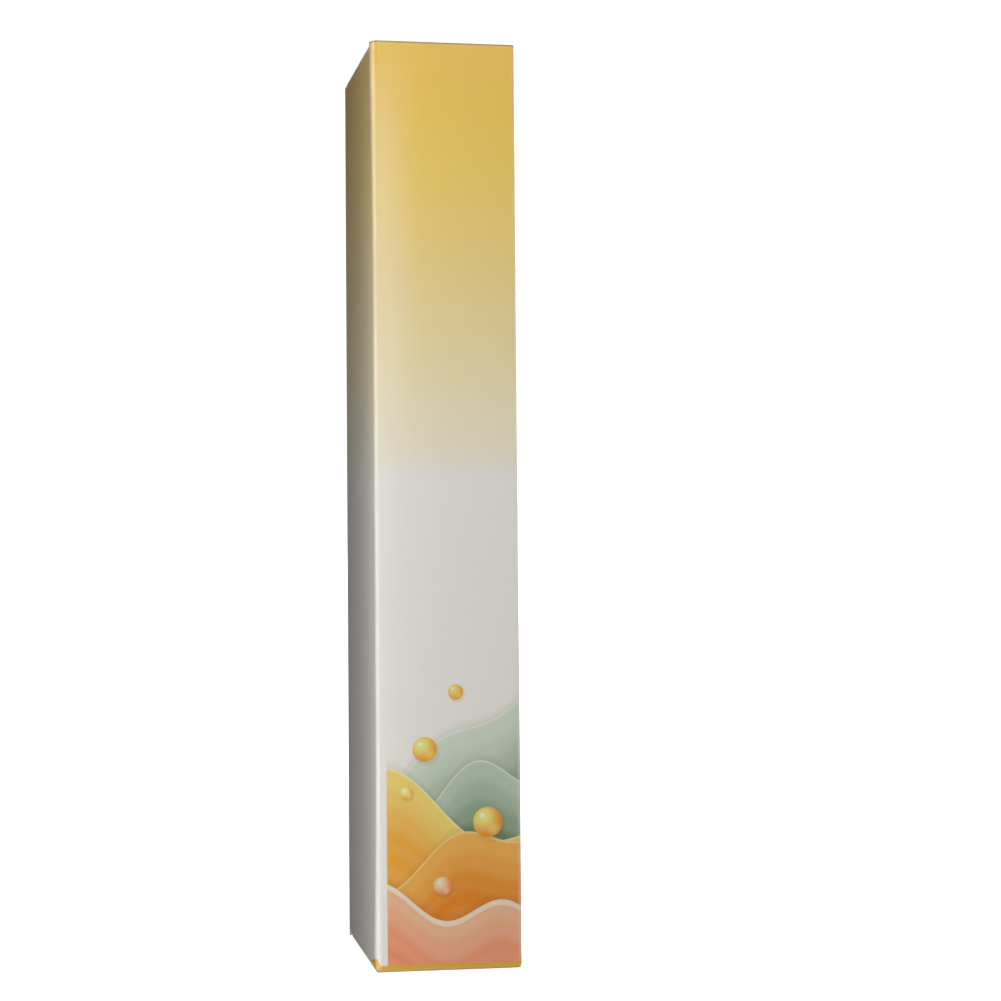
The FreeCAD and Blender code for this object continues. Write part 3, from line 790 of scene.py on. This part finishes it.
# Drive nut and tube, ratchet ring and click ring: small natural acetal mouldings, milky and a
# little waxy. The nut and the ratchet ring are pressed into the barrel; the others turn in it.
natural_acetal = moulding(
    "natural_acetal", (0.82, 0.81, 0.76), (0.74, 0.73, 0.67), 0.8, 0.30, 0.46, 0.10,
    Subsurface_Weight=0.25, Subsurface_Radius=(0.0012, 0.0011, 0.0009))
finish_nodes(natural_acetal, "drive_nut", "drive_tube", "ratchet_ring", "click_ring", "feed_tube")


# Piston rod: a screw of white acetal with two flats milled along it, on which the drive tube turns
# it, and a round head that snaps into the piston.
rod_foot = 4.26
rod_thread_end = 56.9
rod_neck_end = 58.5
rod_head_end = 60.1
rod_root = 2.08
rod_crest = 2.5
rod_flat = 2.0
rod_neck = 1.4
rod_head = 2.0
rod_pitch = 3.0
rod_steps = 24


def whole_shell(shape):
    """Merges doubles, turns every face outwards and scales millimetres to metres."""
    bmesh.ops.remove_doubles(shape, verts=shape.verts, dist=1e-4)
    bmesh.ops.recalc_face_normals(shape, faces=shape.faces)
    bmesh.ops.scale(shape, verts=shape.verts, vec=(metre,) * 3)


def turned(shape, profile, steps):
    """Spins a profile of radius and height into a full round."""
    line = [shape.verts.new((radius, 0, height)) for radius, height in profile]
    edges = [shape.edges.new(pair) for pair in zip(line, line[1:])]
    bmesh.ops.spin(
        shape, geom=line + edges, cent=(0, 0, 0), axis=(0, 0, 1), angle=2 * math.pi, steps=steps,
        use_merge=True)


def plane_off(shape, place, way):
    """Planes a closed shape off beyond a plane and closes it with a flat face."""
    parts = [*shape.verts, *shape.edges, *shape.faces]
    cut = bmesh.ops.bisect_plane(
        shape, geom=parts, plane_co=place, plane_no=way, dist=1e-5, clear_outer=True)
    rim = [part for part in cut["geom_cut"] if isinstance(part, bmesh.types.BMEdge)]
    flat = bmesh.ops.edgenet_fill(shape, edges=rim)
    bmesh.ops.triangulate(shape, faces=flat["faces"])


shape = bmesh.new()
crest_line = (
    (rod_root, 0.0), (rod_root, 0.8), (rod_crest, 1.25), (rod_crest, 2.05), (rod_root, 2.5),
    (rod_root, rod_pitch),
)
line = [shape.verts.new((radius, 0, rod_foot - 2 * rod_pitch + height)) for radius, height in crest_line]
edges = [shape.edges.new(pair) for pair in zip(line, line[1:])]
turns = math.ceil((rod_thread_end - rod_foot) / rod_pitch) + 4
bmesh.ops.spin(
    shape, geom=line + edges, cent=(0, 0, 0), axis=(0, 0, 1), dvec=(0, 0, rod_pitch / rod_steps),
    angle=2 * math.pi * turns, steps=turns * rod_steps)
bmesh.ops.remove_doubles(shape, verts=shape.verts, dist=1e-3)
plane_off(shape, (0, 0, rod_foot), (0, 0, -1))
plane_off(shape, (0, 0, rod_thread_end), (0, 0, 1))
plane_off(shape, (0, rod_flat, 0), (0, 1, 0))
plane_off(shape, (0, -rod_flat, 0), (0, -1, 0))
turned(shape, (
    (0.0, rod_thread_end - 0.5), (rod_neck, rod_thread_end - 0.5), (rod_neck, rod_neck_end),
    (rod_head - 0.2, rod_neck_end), (rod_head, rod_neck_end + 0.2),
    (rod_head, rod_head_end - 0.6), (rod_head - 0.2, rod_head_end - 0.2),
    (rod_head - 0.6, rod_head_end), (0.0, rod_head_end)), 32)
whole_shell(shape)
white_acetal = moulding(
    "white_acetal", (0.84, 0.84, 0.82), (0.80, 0.80, 0.77), 0.8, 0.26, 0.38, 0.06,
    Subsurface_Weight=0.12, Subsurface_Radius=(0.0008, 0.0008, 0.0007))
rod = new_piece("screw_rod", shape, white_acetal)
rod.data.shade_smooth()
rod.data.set_sharp_from_angle(angle=math.radians(28))
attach(rod, "rod")
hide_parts("piston_rod")


# Piston, nib seal and cap liner: soft silicone mouldings, matt and slightly tacky, that wipe the
# bore, seal the nib's plug and close the cap over the neck.
soft_silicone = moulding(
    "soft_silicone", (0.70, 0.71, 0.70), (0.62, 0.63, 0.62), 1.2, 0.50, 0.66, 0.15,
    Subsurface_Weight=0.30, Subsurface_Radius=(0.0015, 0.0014, 0.0012))
finish_nodes(soft_silicone, "piston", "nib_seal", "cap_liner")


# Oil charge: clear amber oil that fills the reservoir between the piston and the nib, with a rounded
# edge where it wets the bore. The advancing piston drives it out through the brush.
oil_low = 61.73
oil_high = 97.74
oil_radius = 5.77
oil_edge = 0.5
shape = bmesh.new()
turned(shape, (
    (0.0, oil_low), (oil_radius - oil_edge, oil_low), (oil_radius, oil_low), (oil_radius, oil_high),
    (oil_radius - oil_edge, oil_high), (0.0, oil_high)), 64)
rims = [edge for edge in shape.edges if len(edge.link_faces) == 2 and edge.calc_face_angle() > 1.0]
bmesh.ops.bevel(
    shape, geom=rims, offset=oil_edge * 0.6, affect="EDGES", segments=4, profile=0.5, material=-1)
whole_shell(shape)
amber_oil = moulding(
    "amber_oil", (0.98, 0.74, 0.30), (0.97, 0.68, 0.22), 0.25, 0.0, 0.02, 0.01,
    Transmission_Weight=1.0, IOR=1.47)
oil = new_piece("oil_fill", shape, amber_oil)
oil.data.shade_smooth()
oil.data.set_sharp_from_angle(angle=math.radians(40))
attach(oil, "pen")
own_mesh(oil)
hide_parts("oil_charge")


# Brush nib and knob plug: white acetal, the nib pressed into the neck with the feed tube through
# it, the plug snapped into the foot of the knob.
finish_nodes(white_acetal, "brush_nib", "knob_plug")


# Brush: about 170 tapered nylon filaments, bonded into the nib round the feed tube and gathered by
# the oil into a soft point. They are natural at the root and take the oil's colour at the tip.
brush_low = 110.5
brush_over_tube = 113.0
brush_exit = 114.4
brush_tip = 124.95
brush_radius = 2.02
brush_tube = 1.08
brush_dome = 2.2
brush_gather = ((0.0, 1.0), (0.25, 1.0), (0.55, 1.02), (0.82, 0.72), (1.0, 0.30))
filament_count = 170
filament_radius = 0.085
golden_turn = math.pi * (3.0 - math.sqrt(5.0))
wander = random.Random(11)
curve = bpy.data.curves.new("brush_line", "CURVE")
curve.dimensions = "3D"
curve.resolution_u = 2
curve.bevel_depth = filament_radius * metre
curve.bevel_resolution = 0
curve.use_fill_caps = True
for count in range(filament_count):
    ring = brush_radius * math.sqrt((count + 0.5) / filament_count)
    angle = count * golden_turn
    start = brush_low if ring > brush_tube else brush_over_tube
    length = brush_tip - start - brush_dome * (ring / brush_radius) ** 2 - wander.uniform(0.0, 0.5)
    lean = wander.uniform(-0.10, 0.10)
    spline = curve.splines.new("NURBS")
    spline.points.add(4)
    for point, (share, gather) in zip(spline.points, brush_gather):
        reach = min(ring * gather, brush_radius)
        turn = angle + lean * share
        place = Vector((reach * math.cos(turn), reach * math.sin(turn), start + length * share)) * metre
        point.co = (*place, 1.0)
        point.radius = 1.0 - 0.55 * share ** 2
    spline.order_u = 3
    spline.use_endpoint_u = True
spun = bpy.data.objects.new("brush_line", curve)
bpy.context.scene.collection.objects.link(spun)
shape = bmesh.new()
drawn = spun.evaluated_get(bpy.context.evaluated_depsgraph_get())
shape.from_mesh(drawn.to_mesh())
drawn.to_mesh_clear()
bpy.data.objects.remove(spun)
bmesh.ops.remove_doubles(shape, verts=shape.verts, dist=filament_radius * metre * 0.05)
bmesh.ops.recalc_face_normals(shape, faces=shape.faces)
oiled_nylon, tree, out = new_finish("oiled_nylon")
place, x, y, z = millimetres(tree)
wet = fade(tree, z, brush_exit, brush_tip - 2.0)
strand_run = add(tree, "VectorMath", {0: place, 1: (4.0, 4.0, 0.3)}, operation="MULTIPLY")
strand = add(tree, "TexNoise", {"Vector": strand_run.outputs[0], "Scale": 1.0, "Detail": 2.0})
nylon_tone = mix(tree, wet, (0.86, 0.84, 0.78), (0.80, 0.60, 0.28))
strand_share = calc(tree, "MULTIPLY", strand.outputs["Fac"], 0.35)
nylon_tone = mix(tree, strand_share, nylon_tone, (0.55, 0.46, 0.32), "MULTIPLY")
nylon = add(tree, "BsdfPrincipled", {
    "Base Color": nylon_tone,
    "Roughness": calc(tree, "MULTIPLY_ADD", wet, -0.22, 0.42),
    "Subsurface Weight": 0.2,
    "Subsurface Radius": (0.0006, 0.0005, 0.0003),
})
tree.links.new(nylon.outputs[0], out.inputs["Surface"])
brush = new_piece("brush_filaments", shape, oiled_nylon)
brush.data.shade_smooth()
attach(brush, "pen")
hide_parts("brush_bristles")


# Barrel label: a thin printed polypropylene film wrapped round the barrel, with a narrow gap at its
# seam. Its print takes up the carton's fade and waves, wrapped round without a break.
label_low = 17.66
label_high = 49.66
label_waves = (
    (13.0, 0.0, 1.6, 2.0, 0.6, (186, 196, 180), (128, 146, 118), 8.0, (200, 208, 194), 0.25),
    (9.5, 0.0, 1.5, 3.0, 2.0, (228, 190, 108), (216, 150, 66), 7.0, (232, 208, 150), 0.28),
    (5.0, 0.0, 1.2, 2.0, 4.1, (220, 168, 134), (214, 136, 104), 5.0, (216, 202, 184), 0.5),
)
label_film, tree, out = new_finish("printed_label_film")
place, x, y, z = millimetres(tree)
rise = calc(tree, "SUBTRACT", z, label_low)
around = calc(tree, "ARCTAN2", x, calc(tree, "MULTIPLY", y, -1.0))
label_sky = colour_steps(tree, calc(tree, "DIVIDE", rise, label_high - label_low), (
    (0.40, paper_white), (0.60, (214, 203, 166)), (1.0, top_yellow)))
label_tone = roll_waves(tree, label_sky, around, rise, label_waves)
edge_line = calc(tree, "MINIMUM", rise, calc(tree, "SUBTRACT", label_high - label_low, rise))
label_tone = mix(tree, fade(tree, edge_line, 0.5, 0.4), label_tone, ink(*foot_yellow))
ripple = add(tree, "TexNoise", {"Vector": place, "Scale": 0.35, "Detail": 1.0})
relief = add(tree, "Bump", {"Strength": 0.03, "Distance": 0.00005, "Height": ripple.outputs["Fac"]})
film = add(tree, "BsdfPrincipled", {
    "Base Color": label_tone,
    "Roughness": calc(tree, "MULTIPLY_ADD", ripple.outputs["Fac"], 0.06, 0.25),
    "Normal": relief.outputs[0],
    "Coat Weight": 0.25,
    "Coat Roughness": 0.1,
})
tree.links.new(film.outputs[0], out.inputs["Surface"])
finish_nodes(label_film, "barrel_label")


# Twist knob: a fluted grip moulded in golden, slightly pearly plastic. The drive tube and the click
# ring are keyed to it.
golden_plastic = moulding(
    "golden_plastic", (0.80, 0.52, 0.12), (0.72, 0.43, 0.08), 0.6, 0.22, 0.34, 0.06,
    Coat_Weight=0.25, Coat_Roughness=0.08)
finish_nodes(golden_plastic, "twist_knob")


# Knob band and click spring: bright drawn metal, the band a ring of anodised aluminium with fine
# turning marks, the spring a coil of stainless wire.
def drawn_metal(name, tone, dark, run, smooth, rough):
    """Bare metal with fine drawing or turning marks along one way."""
    finish, tree, out = new_finish(name)
    place = millimetres(tree)[0]
    marks_run = add(tree, "VectorMath", {0: place, 1: run}, operation="MULTIPLY")
    marks = add(tree, "TexNoise", {
        "Vector": marks_run.outputs[0], "Scale": 1.0, "Detail": 4.0, "Roughness": 0.7,
    })
    share = fade(tree, marks.outputs["Fac"], 0.25, 0.75)
    relief = add(tree, "Bump", {"Strength": 0.08, "Distance": 0.00002, "Height": marks.outputs["Fac"]})
    metal = add(tree, "BsdfPrincipled", {
        "Base Color": mix(tree, share, tone, dark), "Metallic": 1.0, "Normal": relief.outputs[0],
        "Roughness": calc(tree, "MULTIPLY_ADD", share, rough - smooth, smooth),
    })
    tree.links.new(metal.outputs[0], out.inputs["Surface"])
    return finish


turned_aluminium = drawn_metal(
    "turned_aluminium", (0.88, 0.84, 0.74), (0.80, 0.75, 0.63), (0.3, 0.3, 14.0), 0.16, 0.30)
finish_nodes(turned_aluminium, "knob_band")
spring_wire = drawn_metal(
    "spring_wire", (0.66, 0.65, 0.63), (0.52, 0.51, 0.49), (5.0, 5.0, 5.0), 0.20, 0.38)
finish_nodes(spring_wire, "click_spring")


# Pen cap: a clear pull-off cover in the same copolyester as the barrel, a little smokier because its
# wall is thicker. It snaps over the neck.
clear_cap = moulding(
    "clear_cap", (0.94, 0.955, 0.96), (0.89, 0.92, 0.93), 0.4, 0.02, 0.07, 0.02,
    Transmission_Weight=1.0, IOR=1.53)
finish_nodes(clear_cap, "pen_cap")
